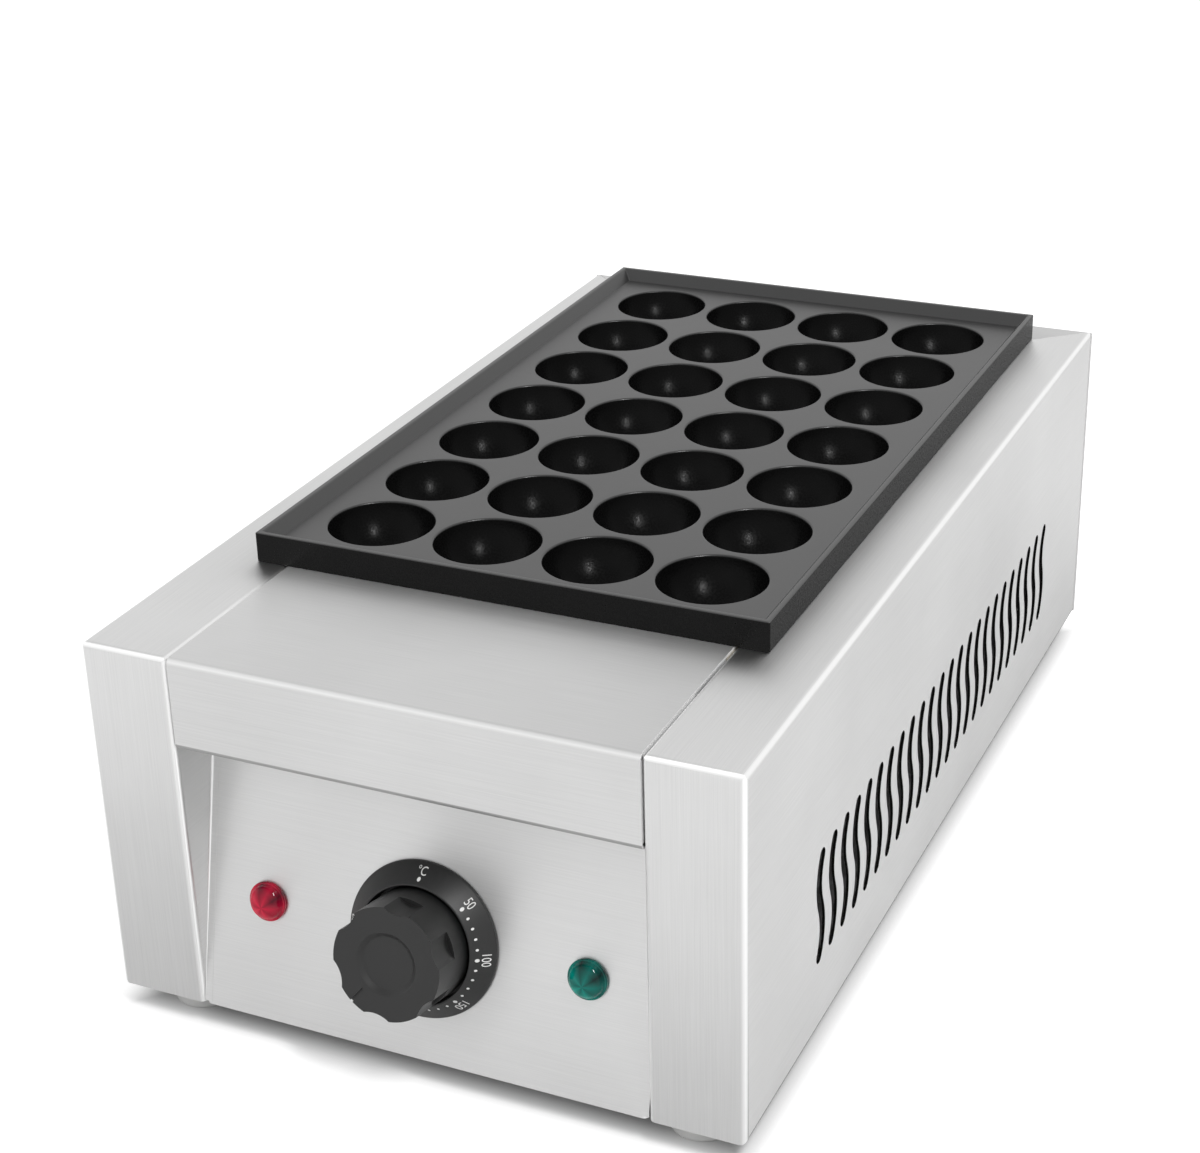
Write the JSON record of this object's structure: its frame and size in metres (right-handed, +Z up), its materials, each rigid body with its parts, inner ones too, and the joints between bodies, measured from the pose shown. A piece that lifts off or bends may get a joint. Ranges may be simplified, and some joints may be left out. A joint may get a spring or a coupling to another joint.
{
  "type": "poffertjes maker",
  "caption": "Countertop electric baker with a loose black cast plate of round cups on a folded stainless body, S-shaped side vents, a thermostat knob and signal lamps.",
  "frame": {"origin": "on the table, under the middle of the body", "axes": "+X to the right seen from the front, +Y to the back, +Z up"},
  "size_m": [0.245, 0.4703, 0.1615],
  "materials": {
    "shell_steel": "brushed stainless sheet",
    "base_steel": "plain galvanised sheet",
    "foot_rubber": "matte black rubber",
    "fastener_steel": "zinc plated",
    "tray_steel": "plain aluminised sheet",
    "heater_sheath": "dark annealed tube",
    "terminal_brass": "plain brass",
    "insulator": "matte fired ceramic",
    "sensor_copper": "plain copper",
    "thermostat_case": "brown moulded resin",
    "dial_black": "satin black, printed scale",
    "knob_black": "fine matte black",
    "lamp_black": "matte black",
    "lens_red": "clear red, glossy",
    "lens_green": "clear green, glossy",
    "block_plastic": "matte ivory",
    "gland_black": "matte black",
    "cast_plate": "matte black casting"
  },
  "bodies": {
    "body": {"left_side_housing": "shell_steel", "right_side_housing": "shell_steel", "front_apron": "shell_steel", "control_panel": "shell_steel", "rear_panel": "shell_steel", "base_plate": "base_steel", "foot_front_left": "foot_rubber", "foot_front_right": "foot_rubber", "foot_rear_left": "foot_rubber", "foot_rear_right": "foot_rubber", "foot_screws": "fastener_steel", "base_screws": "fastener_steel", "base_nuts": "fastener_steel", "rear_screws": "fastener_steel", "flange_screws": "fastener_steel", "flange_nuts": "fastener_steel", "tray_studs": "fastener_steel", "tray_nuts": "fastener_steel", "thermostat_screws": "fastener_steel", "block_screws": "fastener_steel", "reflector_tray": "tray_steel", "heater_support": "tray_steel", "bulb_brackets": "tray_steel", "heater_left": "heater_sheath", "heater_right": "heater_sheath", "heater_bushings": "terminal_brass", "heater_nuts": "terminal_brass", "heater_pins": "terminal_brass", "thermostat_blades": "terminal_brass", "terminal_screws": "terminal_brass", "earth_stud": "terminal_brass", "earth_nuts": "terminal_brass", "heater_insulators": "insulator", "sensor_bulb": "sensor_copper", "capillary_tube": "sensor_copper", "thermostat_body": "thermostat_case", "dial_ring": "dial_black", "red_lamp_body": "lamp_black", "green_lamp_body": "lamp_black", "lamp_nuts": "lamp_black", "red_lamp_lens": "lens_red", "green_lamp_lens": "lens_green", "terminal_block": "block_plastic", "cable_gland": "gland_black", "gland_cap": "gland_black", "gland_locknut": "gland_black"},
    "knob": {"control_knob": "knob_black", "thermostat_shaft": "fastener_steel"},
    "plate": {"baking_plate": "cast_plate"}
  },
  "joints": [
    {"name": "knob_turn", "type": "hinge", "parent": "body", "child": "knob", "pos_m": [0, -0.20376, 0.05393], "axis": [0, 0.9763, -0.2164], "range_deg": [-218, 55.6]},
    {"name": "plate_lift", "type": "slide", "parent": "body", "child": "plate", "axis": [0, 0, 1], "range_m": [0, 0.12]}
  ]
}
